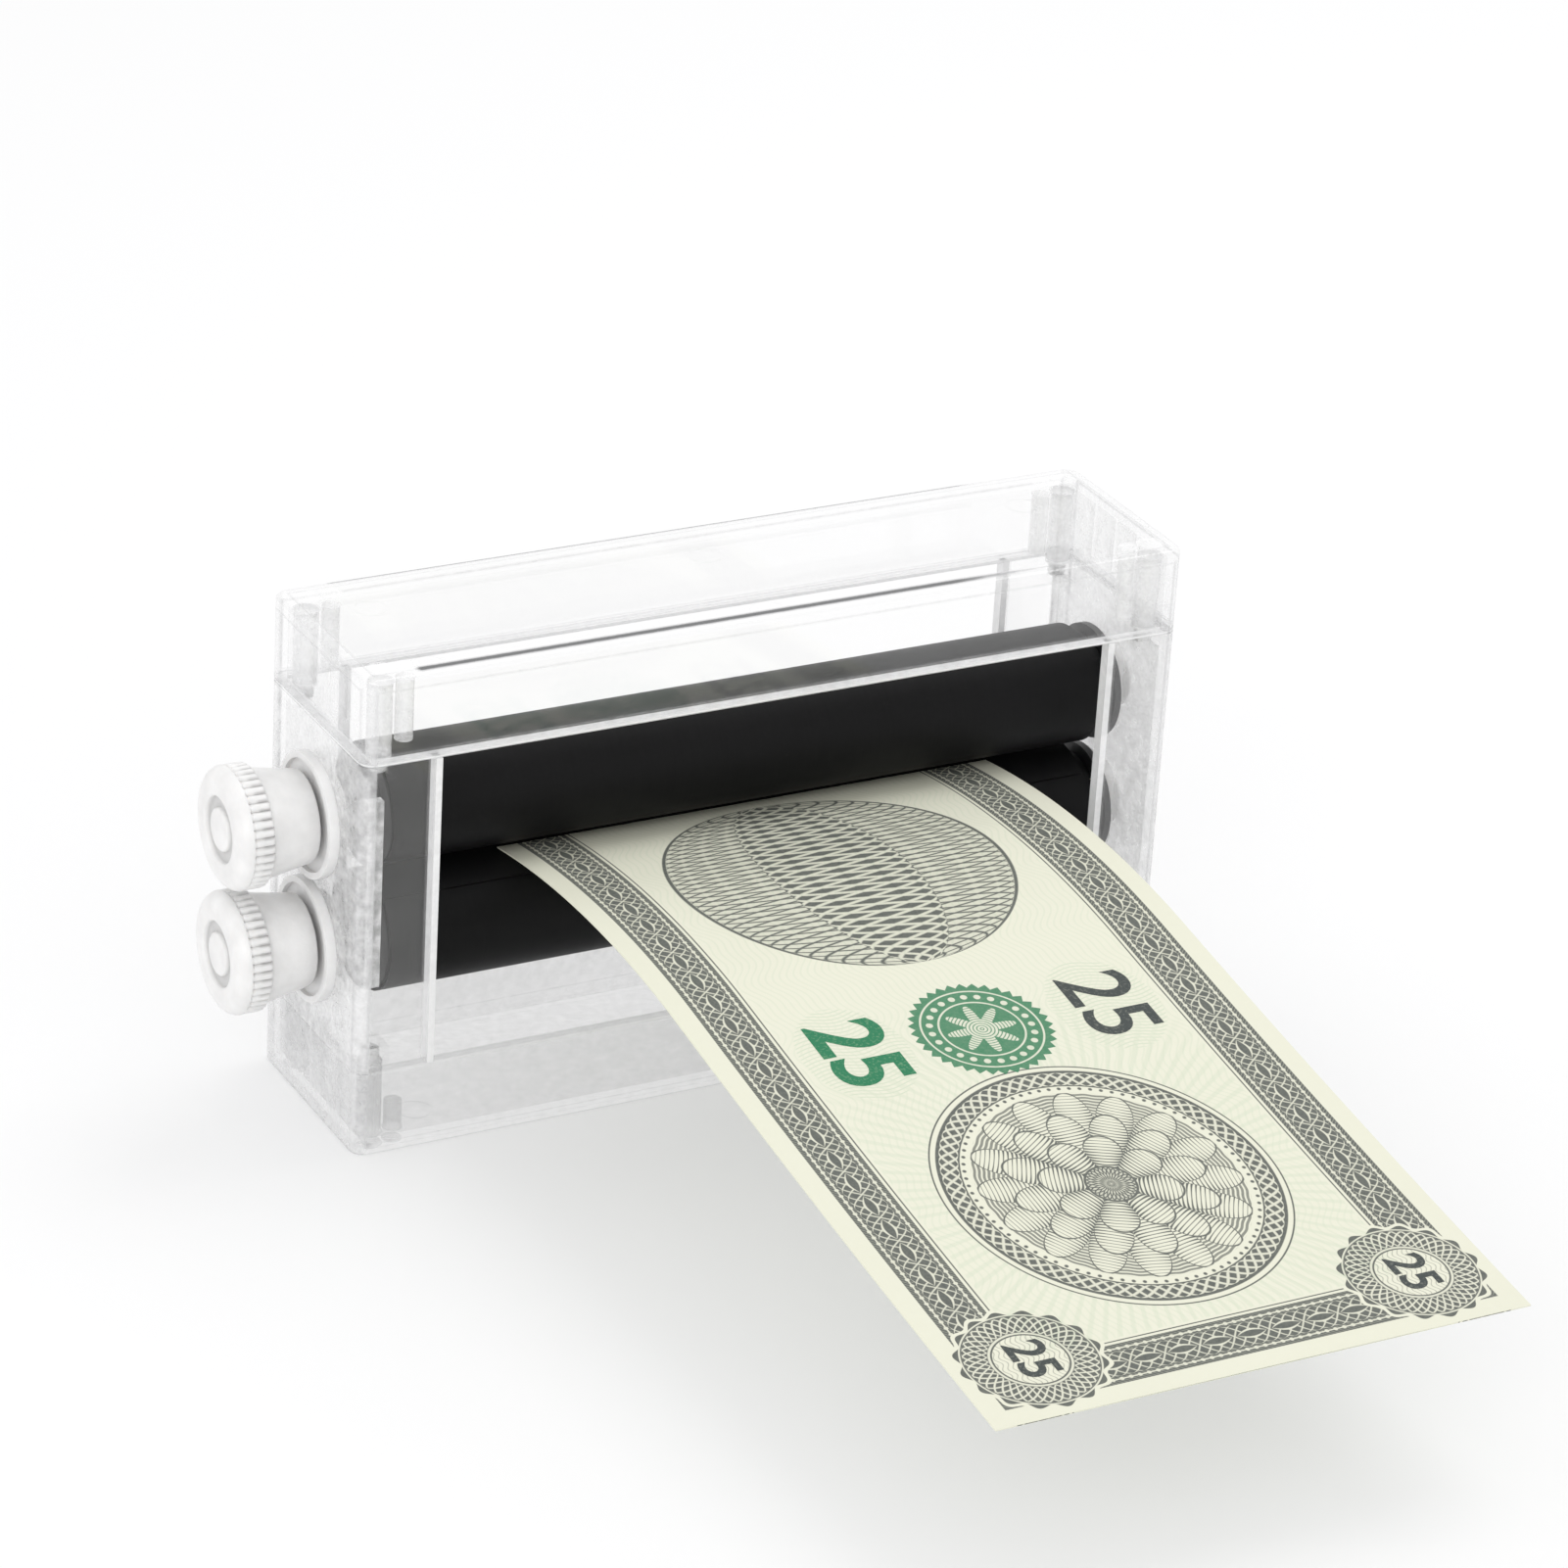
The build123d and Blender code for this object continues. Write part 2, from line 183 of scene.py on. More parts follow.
class Finish:
    """A material under construction."""

    def __init__(self, name):
        self.material = bpy.data.materials.new(name)
        self.material.use_nodes = True
        self.tree = self.material.node_tree
        self.tree.nodes.clear()

    def node(self, kind, settings=None, output=0, inputs=(), **values):
        """Add a node, set it up, feed its inputs by name, and return one output.

        inputs are the shaders of a mix, or other values whose sockets share a name.
        """
        node = self.tree.nodes.new("ShaderNode" + kind)
        for key, value in (settings or {}).items():
            setattr(node, key, value)
        for key, value in values.items():
            name = {"Factor": "Fac"}.get(key, key) if kind == "MixShader" else key
            feed(self.tree, node.inputs[name.replace("_", " ")], value)
        for socket, value in zip(list(node.inputs)[-len(inputs):], inputs):
            self.tree.links.new(value.socket, socket)
        return Value(self.tree, node.outputs[output])

    def place(self):
        """Object coordinates in millimetres, as three Values."""
        point = self.node("TexCoord", output="Object")
        parts = self.tree.nodes.new("ShaderNodeSeparateXYZ")
        feed(self.tree, parts.inputs[0], point)
        return [Value(self.tree, socket) / MM for socket in parts.outputs]

    def noise(self, size, detail=2.0, stretch=(1, 1, 1)):
        """Noise from 0 to 1 whose blobs are size metres across, longer along stretch."""
        point = self.node("TexCoord", output="Object")
        scale = tuple(size * share for share in stretch)
        scaled = self.node("Mapping", {"vector_type": "TEXTURE"}, Vector=point, Scale=scale)
        return self.node("TexNoise", Vector=scaled, Scale=1.0, Detail=detail)

    def mix(self, factor, first, second):
        """Blend two colours, or Values of colours."""
        node = self.tree.nodes.new("ShaderNodeMix")
        node.data_type = "RGBA"
        feed(self.tree, node.inputs["Factor"], factor)
        feed(self.tree, node.inputs[6], first)
        feed(self.tree, node.inputs[7], second)
        return Value(self.tree, node.outputs[2])

    def bump(self, height, depth, strength=1.0):
        return self.node("Bump", Height=height, Distance=depth, Strength=strength)

    def surface(self, shader):
        out = self.tree.nodes.new("ShaderNodeOutputMaterial")
        self.tree.links.new(shader.socket, out.inputs["Surface"])
        return self.material


def wear(obj, material):
    """Give an object its one material."""
    obj.data.materials.clear()
    obj.data.materials.append(material)


def shade_smooth(mesh, angle=35.0):
    """Smooth shading that keeps creases sharper than angle degrees."""
    mesh.shade_smooth()
    mesh.set_sharp_from_angle(angle=radians(angle))


class Growth:
    """A Geometry Nodes tree under construction; its arithmetic is written with Values too."""

    def __init__(self, name, **sizes):
        self.tree = bpy.data.node_groups.new(name, "GeometryNodeTree")
        face = self.tree.interface
        face.new_socket("Geometry", in_out="INPUT", socket_type="NodeSocketGeometry")
        for key in sizes:
            face.new_socket(key.replace("_", " "), in_out="INPUT", socket_type="NodeSocketFloat")
        face.new_socket("Material", in_out="INPUT", socket_type="NodeSocketMaterial")
        face.new_socket("Geometry", in_out="OUTPUT", socket_type="NodeSocketGeometry")
        self.group = self.tree.nodes.new("NodeGroupInput")
        self.geometry = self.size("Geometry")
        self.sizes = sizes

    def size(self, name):
        return Value(self.tree, self.group.outputs[name])

    def node(self, kind, settings=None, output=0, **values):
        """Add a node, set it up, feed its inputs by name, and return one output."""
        node = self.tree.nodes.new(kind)
        for key, value in (settings or {}).items():
            setattr(node, key, value)
        for key, value in values.items():
            feed(self.tree, node.inputs[key.replace("_", " ")], value)
        return Value(self.tree, node.outputs[output])

    def place(self):
        """Position of each point, as three Values."""
        parts = self.tree.nodes.new("ShaderNodeSeparateXYZ")
        feed(self.tree, parts.inputs[0], self.node("GeometryNodeInputPosition"))
        return [Value(self.tree, socket) for socket in parts.outputs]

    def point(self, x, y, z):
        return self.node("ShaderNodeCombineXYZ", X=x, Y=y, Z=z)

    def finish(self, geometry):
        """End the tree in Realize Instances and Set Material."""
        real = self.node("GeometryNodeRealizeInstances", Geometry=geometry)
        worn = self.node("GeometryNodeSetMaterial", Geometry=real, Material=self.size("Material"))
        out = self.tree.nodes.new("NodeGroupOutput")
        self.tree.links.new(worn.socket, out.inputs[0])

    def grow(self, name, start, material, **sizes):
        """Run the tree on a start mesh and return the result as a plain mesh object."""
        obj = add_object(name, start)
        modifier = obj.modifiers.new(name, "NODES")
        modifier.node_group = self.tree
        chosen = {key.replace("_", " "): value for key, value in {**self.sizes, **sizes}.items()}
        chosen["Material"] = material
        for item in self.tree.interface.items_tree:
            if item.in_out == "INPUT" and item.name in chosen:
                modifier[item.identifier] = chosen[item.name]
        bpy.context.view_layer.update()
        grown = obj.evaluated_get(bpy.context.evaluated_depsgraph_get())
        mesh = bpy.data.meshes.new_from_object(grown)
        obj.modifiers.remove(modifier)
        obj.data = mesh
        mesh.name = name
        return obj


# ---- Floor and light -------------------------------------------------------------------
# A white sweep that keeps the toy's soft shadow, one broad lamp from the upper right and a
# white surround. Camera, gloss and glass rays all see the surround as plain white.
floor_half = 6.0
floor_mesh = bpy.data.meshes.new("floor")
floor_mesh.from_pydata(
    [(sx * floor_half, sy * floor_half, 0) for sx, sy in ((-1, -1), (1, -1), (1, 1), (-1, 1))],
    [],
    [(0, 1, 2, 3)],
)
floor = add_object("floor", floor_mesh)
floor_finish = Finish("floor")
floor_paint = floor_finish.node("BsdfDiffuse", Color=(0.90, 0.90, 0.905))
floor_glow = floor_finish.node("Emission", Color=(1, 1, 1), Strength=1.0)
floor_seen = floor_finish.node("LightPath", output="Is Camera Ray")
floor_gloss = floor_finish.node("LightPath", output="Is Glossy Ray")
floor_pass = floor_finish.node("LightPath", output="Is Transmission Ray")
floor_look = 0.42 * floor_seen.most(floor_gloss).most(floor_pass)
floor_mix = floor_finish.node("MixShader", Factor=floor_look, inputs=(floor_paint, floor_glow))
wear(floor, floor_finish.surface(floor_mix))

world = bpy.data.worlds.new("surround")
bpy.context.scene.world = world
world.use_nodes = True
sky = world.node_tree
sky.nodes.clear()
paths = sky.nodes.new("ShaderNodeLightPath")
seen = Value(sky, paths.outputs["Is Camera Ray"]).most(
    Value(sky, paths.outputs["Is Glossy Ray"])
).most(Value(sky, paths.outputs["Is Transmission Ray"]))
surround_light = 0.88
background = sky.nodes.new("ShaderNodeBackground")
feed(sky, background.inputs["Strength"], surround_light + (1 - surround_light) * seen)
feed(sky, background.inputs["Color"], (1, 1, 1))
sky_out = sky.nodes.new("ShaderNodeOutputWorld")
sky.links.new(background.outputs[0], sky_out.inputs["Surface"])


def lamp(name, place, aim, size, watts):
    """A square area lamp that points at aim."""
    light = bpy.data.lights.new(name, "AREA")
    light.size = size
    light.energy = watts
    obj = add_object(name, light)
    obj.location = place
    obj.rotation_euler = (Vector(aim) - Vector(place)).to_track_quat("-Z", "Y").to_euler()


lamp("key", (0.35, 0.10, 0.75), (0, -0.03, 0.02), 0.45, 1.5)
lamp("fill", (-0.60, -0.55, 0.40), (0, 0, 0.03), 0.60, 1.9)


# ---- Clear box mouldings ---------------------------------------------------------------
# Cover, tray, side frames and inner plate are injection-moulded clear styrene, 1.5 mm thick.
# Light goes straight through, with a little milky haze; rims, edges, ends and tray get painted
# light and shade.
tray_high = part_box("base_tray")[1]
cover_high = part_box("top_cover")[1]
frame_low, frame_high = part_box("left_frame")
box_end = tray_high.x / MM
box_side = tray_high.y / MM
box_top = cover_high.z / MM
seam_low = frame_low.z / MM
seam_high = frame_high.z / MM
window_edge = -frame_high.x / MM
clear_haze = 0.030
# Strengths of the painted highlight, painted grey shade and painted dark shade on the clear
# plastic.
painted_highlight_level = 0.78
painted_grey_shade_level = 0.55
painted_dark_shade_level = 0.95
end_wall = 1.65
post_x = 50.8
post_y = 10.55
post_radius = 1.70
stub_offset = 3.1
stub_radius = 1.25
bracket_x = 49.2
bracket_front = 7.0


def clear_plastic(name, painted_light_masks):
    """Clear moulded plastic, with painted highlight, grey shade and dark shade from masks of (x, y,
    z, streak).
    """
    finish = Finish(name)
    x, y, z = finish.place()
    cloud = finish.noise(7 * MM, detail=3.0)
    streak = finish.noise(1.3 * MM, detail=3.0)
    bright, grey, dark = painted_light_masks(x, y, z, streak)
    # Haze, plus painted highlight, painted grey shade and painted dark shade from the masks.
    haze_and_painted_light = clear_haze + 0.022 * (cloud - 0.5) + bright * (painted_highlight_level + 0.30 * (streak - 0.5))
    haze_and_painted_light = haze_and_painted_light + grey * (painted_grey_shade_level + 0.8 * (streak - 0.5))
    haze_and_painted_light = haze_and_painted_light + dark * (painted_dark_shade_level + 0.5 * (streak - 0.5))
    haze_and_painted_light = haze_and_painted_light.most(0.012).least(0.97)
    # Colour of the painted grey shade, then of the painted dark shade, over the haze's white.
    haze_and_painted_shade_tone = finish.mix(grey.least(1.0), (0.93, 0.93, 0.935), (0.33, 0.33, 0.34))
    haze_and_painted_shade_tone = finish.mix(dark.least(1.0), haze_and_painted_shade_tone, (0.035, 0.035, 0.04))
    ripple = finish.bump(cloud + 0.15 * streak, 0.02 * MM)
    paint = finish.node("BsdfPrincipled", Base_Color=haze_and_painted_shade_tone, Roughness=0.22, IOR=1.5, Normal=ripple)
    through = finish.node("BsdfTransparent", Color=(1, 1, 1))
    gloss = finish.node("BsdfGlossy", Color=(1, 1, 1), Roughness=0.04, Normal=ripple)
    facing = finish.node("LayerWeight", output="Facing", Blend=0.5)
    shine = 0.035 + 0.45 * facing.math("POWER", facing, 5.0)
    body = finish.node("MixShader", Factor=haze_and_painted_light, inputs=(through, paint))
    return finish.surface(finish.node("MixShader", Factor=shine, inputs=(body, gloss)))


def painted_edge_shade(x, y, z):
    """Painted grey shade along the box's edges: one line on the edge, one over the wall's inner
    corner.
    """
    dx = box_end - abs(x)
    dy = box_side - abs(y)
    dz = box_top / 2 - abs(z - box_top / 2)
    edge = dx + dy + dz - dx.most(dy).most(dz)
    on_skin = dx.least(dy).least(dz).below(0.45, 0.10)
    rim = edge.below(0.30, 0.25) * 0.55
    inner = abs(edge - 1.55).below(0.16, 0.14) * 0.50
    return rim.most(inner) * on_skin


def on_end_wall(x):
    return (abs(x) - box_end).step(-end_wall, 0.10)


def painted_end_wall_light(x, streak):
    """Painted white highlight on the streaky end walls, which hides most of what is behind them."""
    return on_end_wall(x) * (0.47 + 0.85 * (streak - 0.5)).most(0.16)


def shell_painted_light(x, y, z, streak):
    """Cover and tray: painted highlight on seams, ends and posts; painted shade in grey outlines
    and dark top lines.
    """
    # Painted highlight on the seams and, below, on the posts and stubs.
    low_seam = abs(z - seam_low).below(0.32, 0.04) * 0.25
    high_seam = abs(z - seam_high).below(0.42, 0.05)
    px = abs(x) - post_x
    py = abs(y) - post_y
    sx = px + stub_offset
    post = (px * px + py * py).root().below(post_radius, 0.05)
    stub = (sx * sx + py * py).root().below(stub_radius, 0.05)
    posts = post.most(stub) * (0.45 + 0.8 * (streak - 0.5))
    # Painted grey shade beside the seams.
    seam_line = abs(abs(z - seam_high) - 0.62).below(0.12, 0.10) * 0.35
    seam_line = seam_line.most(abs(abs(z - seam_low) - 0.55).below(0.12, 0.10) * 0.30)
    front_line = abs(y + box_side - 1.5).below(0.62, 0.35) * x.below(30.0, 7.0)
    back_line = 0.75 * abs(y - box_side + 0.45).below(0.30, 0.15) * x.below(38.5, 1.5)
    # Painted dark shade along the top's front and back edges.
    top_line = z.step(box_top - 0.35, 0.12) * front_line.most(back_line)
    along = x.step(7.0 - box_end, 0.4)
    # Painted highlight on the end walls.
    painted_end_light = painted_end_wall_light(x, streak)
    # Painted grey streaks on the end walls where their painted highlight is thin.
    wear_specks_and_painted_streaks = 0.16 * painted_end_light.below(0.27, 0.05) * on_end_wall(x)
    # Painted dark shade round the posts near the top.
    post_top = post * abs(z - box_top + 1.8).below(0.35, 0.15) * 0.16
    bright = low_seam.most(high_seam).most(0.6 * painted_end_light).most(posts)
    # Painted grey shade on edges, beside the seams and over the whole tray below the seam.
    grey = painted_edge_shade(x, y, z).most(seam_line).most(0.30 * z.below(seam_low - 0.3, 0.2))
    return bright, grey.most(wear_specks_and_painted_streaks), (top_line * along).most(post_top)


def frame_painted_light(x, y, z, streak):
    """Side frames: painted highlight on window edges, end walls and the bracket's front edge, and
    painted grey shade.
    """
    # Painted highlight on the window edges, and painted grey shade beside them.
    window = abs(x).below(window_edge + 0.85, 0.06)
    window_line = abs(abs(x) - window_edge - 1.0).below(0.12, 0.10) * 0.30
    # Painted highlight on the end walls.
    painted_end_light = painted_end_wall_light(x, streak)
    # Painted highlight on the bracket's front edge.
    on_bracket = abs(y + bracket_front).below(0.75, 0.05) * abs(x + bracket_x).below(1.2, 0.05)
    bracket_edge = on_bracket * (0.75 + 1.4 * (streak - 0.5)).most(0.2)
    # Painted dark streaks on the end walls where their painted highlight is thin.
    wear_specks_and_painted_streaks = 0.22 * painted_end_light.below(0.28, 0.05) * on_end_wall(x)
    bright = window.most(painted_end_light).most(bracket_edge)
    return bright, painted_edge_shade(x, y, z).most(window_line), wear_specks_and_painted_streaks


shell_plastic = clear_plastic("clear_shell", shell_painted_light)
frame_plastic = clear_plastic("clear_frame", frame_painted_light)
for node in ("base_tray", "top_cover"):
    wear(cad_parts[node], shell_plastic)
for node in ("left_frame", "right_frame", "left_bearing_bracket"):
    wear(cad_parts[node], frame_plastic)


# ---- Knobs, bushes and bearing blocks --------------------------------------------------
# Moulded in natural, milky polypropylene: two fluted knobs pressed on the roller shafts,
# the dished bushes they turn beside, and a block for the far end of each roller.
milk_pale = (0.86, 0.855, 0.85)
milk_shadow = (0.76, 0.755, 0.75)
# How dark the painted shade in the knobs' recesses is.
hollow_shade = 0.80


def milky_plastic(name, painted_recess_shade=None):
    """Milky translucent plastic with soft flow marks; an optional mask of (x, y, z) adds painted
    shade.
    """
    finish = Finish(name)
    flow = finish.noise(3 * MM, detail=4.0)
    grain = finish.noise(0.4 * MM, detail=2.0)
    tone = finish.mix(flow.step(0.55, 0.25), milk_pale, milk_shadow)
    if painted_recess_shade:
        # Painted shade where the recess mask is 1.
        shaded = [hollow_shade * part for part in milk_shadow]
        tone = finish.mix(painted_recess_shade(*finish.place()), tone, shaded)
    soft = finish.bump(flow + 0.2 * grain, 0.10 * MM)
    paint = finish.node(
        "BsdfPrincipled",
        Base_Color=tone,
        Roughness=0.28 + 0.15 * grain,
        IOR=1.49,
        Normal=soft,
        Subsurface_Weight=0.35,
        Subsurface_Radius=(1.0, 0.95, 0.9),
        Subsurface_Scale=1.5 * MM,
    )
    return finish.surface(paint)


milky = milky_plastic("milky_plastic")
for level in ("upper", "lower"):
    wear(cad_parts[level + "_left_bush"], milky)
    wear(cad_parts[level + "_right_bearing_block"], milky)


def revolve(name, profile, steps):
    """Solid of a profile (distance along X, radius) that starts and ends on the X axis."""
    points, faces = [], []
    for i in range(steps):
        angle = 2 * pi * i / steps
        points += [(along, r * cos(angle), r * sin(angle)) for along, r in profile]
    n = len(profile)
    for i in range(steps):
        j = (i + 1) % steps
        for k in range(n - 1):
            faces.append((i * n + k, i * n + k + 1, j * n + k + 1, j * n + k))
    return finished_mesh(name, points, faces)


def finished_mesh(name, points, faces):
    """New mesh with its doubles merged and its faces pointing outwards."""
    mesh = bpy.data.meshes.new(name)
    mesh.from_pydata(points, [], faces)
    face_outwards(mesh)
    return mesh


def face_outwards(mesh):
    """Merge a mesh's doubles, then turn its faces outwards."""
    work = bmesh.new()
    work.from_mesh(mesh)
    bmesh.ops.remove_doubles(work, verts=work.verts, dist=1e-7)
    bmesh.ops.dissolve_degenerate(work, edges=work.edges, dist=1e-7)
    bmesh.ops.recalc_face_normals(work, faces=work.faces)
    work.to_mesh(mesh)
    work.free()


def bend(along, radius, size, start, end, count=6):
    """Points of an arc in a profile, about (along, radius), from start to end degrees."""
    turns = [radians(start + (end - start) * i / count) for i in range(count + 1)]
    return [(along + size * cos(a), radius + size * sin(a)) for a in turns]


flute_count = 42
flute_depth = 0.50
samples_per_flute = 10
knob_low, knob_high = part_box("upper_knob")
knob_length = (knob_high.x - knob_low.x) / MM
knob_radius = (knob_high.z - knob_low.z) / 2 / MM
knob_face = knob_low.x / MM
knob_pitch = (knob_low.z + knob_high.z) / MM - box_top
knob_rim_round = 1.76
knob_rim_end = 1.8
knob_band_end = 4.2
knob_neck = 6.7
knob_neck_end = 7.5
knob_collar = 5.6
groove_outer = 4.0
groove_inner = 2.6
groove_floor = 0.70
shaft_hole = 2.33
shaft_hole_mouth = 3.2
shaft_hole_end = 2.2


def knob_profile():
    """Half section of a knob, in mm from its face: boss, ring groove, rim, band, neck, bore."""
    band = knob_radius - 0.10
    rim_middle = knob_radius - knob_rim_round - 0.04
    return [
        (0.10, 0.0),
        (0.06, groove_inner - 0.45),
        (0.12, groove_inner - 0.15),
        (0.26, groove_inner),
        (groove_floor - 0.14, groove_inner + 0.02),
        (groove_floor, groove_inner + 0.14),
        (groove_floor, groove_outer - 0.16),
        (groove_floor - 0.14, groove_outer),
        (0.24, groove_outer + 0.02),
        (0.08, groove_outer + 0.14),
        (0.02, groove_outer + 0.38),
        (0.03, 5.1),
        *bend(knob_rim_round + 0.02, rim_middle, knob_rim_round, 180, 98, 9),
        (knob_rim_end + 0.04, band - 0.10),
        (knob_rim_end + 0.16, band),
        *((knob_rim_end + 0.4 * k, band) for k in range(1, 6)),
        (knob_band_end - 0.12, band - 0.06),
        (knob_band_end - 0.02, band - 0.22),
        (knob_band_end + 0.03, knob_neck + 0.30),
        (knob_band_end + 0.20, knob_neck + 0.08),
        (knob_band_end + 0.55, knob_neck - 0.08),
        (knob_neck_end, knob_collar + 0.50),
        (knob_length - 0.35, knob_collar + 0.06),
        (knob_length - 0.06, knob_collar - 0.10),
        (knob_length, knob_collar - 0.35),
        (knob_length, shaft_hole_mouth),
        (knob_length - 0.4, shaft_hole + 0.1),
        (knob_length - 0.8, shaft_hole),
        (shaft_hole_end, shaft_hole),
        (shaft_hole_end, 0.0),
    ]


def flute_rule():
    """Geometry Nodes: pull a turned knob's band in, so that rounded ribs stay between notches."""
    tree = Growth(
        "knob_flutes", Flutes=42.0, Depth=0.5, Band_Start=2.0, Band_End=6.0, Least_Radius=6.9
    )
    x, y, z = tree.place()
    radius = (y * y + z * z).root()
    wave = abs((z.angle(y) * tree.size("Flutes") / 2).cosine())
    notch = tree.size("Depth") * (1 - wave).math("POWER", 1 - wave, 1.6)
    on_band = x.math("GREATER_THAN", x, tree.size("Band Start"))
    on_band = on_band * x.math("LESS_THAN", x, tree.size("Band End"))
    on_band = on_band * radius.math("GREATER_THAN", radius, tree.size("Least Radius"))
    share = 1 - on_band * notch / radius.most(0.001)
    pulled = tree.point(x, y * share, z * share)
    tree.finish(tree.node("GeometryNodeSetPosition", Geometry=tree.geometry, Position=pulled))
    return tree


def knob_painted_recess_shade(x, y, z):
    """Painted shade in the ring grooves in the knobs' faces and at the notches' inner ends."""
    off = abs(z - box_top / 2) - knob_pitch / 2
    radius = (y * y + off * off).root()
    ring = abs(radius - (groove_outer + groove_inner) / 2).below(0.72, 0.10)
    deep = abs(x - knob_face - groove_floor).below(0.25, 0.10)
    notch = radius.below(knob_radius - 0.22, 0.12) * radius.step(knob_neck + 0.1, 0.1)
    band = abs(x - knob_face - knob_band_end + 0.7).below(0.7, 0.25)
    return (ring * deep).most(0.8 * notch * band)


knob_milk = milky_plastic("knob_plastic", knob_painted_recess_shade)
flutes = flute_rule()
turned = revolve("turned_knob", knob_profile(), flute_count * samples_per_flute)
for level in ("upper", "lower"):
    low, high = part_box(level + "_knob")
    knob = flutes.grow(
        level + "_knob_body",
        turned,
        knob_milk,
        Flutes=float(flute_count),
        Depth=flute_depth,
        Band_Start=knob_rim_end,
        Band_End=knob_band_end + 0.01,
        Least_Radius=knob_radius - 0.45,
    )
    knob.data.transform(
        Matrix.Translation((low.x, (low.y + high.y) / 2, (low.z + high.z) / 2))
        @ Matrix.Scale(MM, 4)
    )
    shade_smooth(knob.data, 50)
    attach(knob, level + "_roller")
    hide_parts(level + "_knob")


# ---- Roller cores ----------------------------------------------------------------------
# A black tube for each roller, with a flanged black plug pressed into either end. The left
# plug carries the shaft that the knob is pressed on; tape holds the sheet on the tube.
def core_plastic():
    """Matt black moulded plastic."""
    finish = Finish("black_core")
    flow = finish.noise(4 * MM, detail=3.0)
    tone = finish.mix(flow, (0.010, 0.010, 0.011), (0.022, 0.022, 0.023))
    soft = finish.bump(flow, 0.05 * MM)
    paint = finish.node("BsdfPrincipled", Base_Color=tone, Roughness=0.38, Normal=soft)
    return finish.surface(paint)


def tape_film():
    """Yellowed adhesive tape."""
    finish = Finish("tape")
    bubbles = finish.noise(1.2 * MM, detail=3.0)
    tone = finish.mix(bubbles, (0.70, 0.62, 0.42), (0.60, 0.52, 0.34))
    return finish.surface(finish.node("BsdfPrincipled", Base_Color=tone, Roughness=0.25))


core = core_plastic()
tape = tape_film()
for level in ("upper", "lower"):
    for part in ("_roller_tube", "_drive_plug", "_end_plug"):
        wear(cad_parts[level + part], core)
    wear(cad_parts[level + "_sheet_tape"], tape)


# ---- Black sheet -----------------------------------------------------------------------
# One length of soft black vinyl film, 0.2 mm thick: three turns on each roller, and a
# strand through the nip from the upper roller's back to the lower roller's front.
def film():
    """Soft matt black vinyl with faint drag lines along the turns and dull patches."""
    finish = Finish("black_sheet")
    dull = finish.noise(9 * MM, detail=4.0, stretch=(1.5, 1, 1))
    drag = finish.noise(0.5 * MM, detail=3.0, stretch=(1, 14, 14))
    tone = finish.mix(0.6 * dull + 0.4 * drag, (0.0030, 0.0030, 0.0032), (0.0080, 0.0080, 0.0085))
    soft = finish.bump(0.5 * drag + dull, 0.04 * MM)
    return finish.surface(
        finish.node(
            "BsdfPrincipled",
            Base_Color=tone,
            Roughness=0.50 + 0.18 * (dull - 0.5),
            IOR=1.5,
            Normal=soft,
            Specular_IOR_Level=0.12,
        )
    )


def ribbon(name, line, left_x, right_x, thickness, across):
    """Closed sheet of a given thickness over a line of (y, z) points."""
    offsets = []
    for i, (y, z) in enumerate(line):
        before = line[max(i - 1, 0)]
        after = line[min(i + 1, len(line) - 1)]
        dy, dz = after[0] - before[0], after[1] - before[1]
        size = sqrt(dy * dy + dz * dz)
        offsets.append((-dz / size * thickness / 2, dy / size * thickness / 2))
    outline = [(y + oy, z + oz) for (y, z), (oy, oz) in zip(line, offsets)]
    outline += [(y - oy, z - oz) for (y, z), (oy, oz) in reversed(list(zip(line, offsets)))]
    n = len(outline)
    points, faces = [], []
    for k in range(across + 1):
        x = left_x + (right_x - left_x) * k / across
        points += [(x, y, z) for y, z in outline]
    for k in range(across):
        for i in range(n):
            j = (i + 1) % n
            faces.append((k * n + i, k * n + j, (k + 1) * n + j, (k + 1) * n + i))
    half = len(line)
    for k in (0, across):
        for i in range(half - 1):
            faces.append((k * n + i, k * n + i + 1, k * n + n - 2 - i, k * n + n - 1 - i))
    mesh = finished_mesh(name, points, faces)
    shade_smooth(mesh)
    return add_object(name, mesh)


sheet_thickness = 0.2 * MM
turn_step = 0.65 * MM
half_turns = 6
winding_radius = 7.8 * MM
strand_wrap = 40.0
strand_clearance = 0.12 * MM
points_per_half = 60
sheet_taper = 0.5 * MM
sheet_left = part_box("sheet_strand")[0].x
sheet_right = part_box("upper_sheet_winding")[1].x
outer_right = sheet_right - sheet_taper * (half_turns - 1)
black = film()


def axis_height(node):
    """Height of the axis that a turned piece lies round."""
    low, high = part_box(node)
    return (low.z + high.z) / 2


upper_axis_z = axis_height("upper_roller_tube")
lower_axis_z = axis_height("lower_roller_tube")
nip_z = (upper_axis_z + lower_axis_z) / 2
pitch = upper_axis_z - lower_axis_z


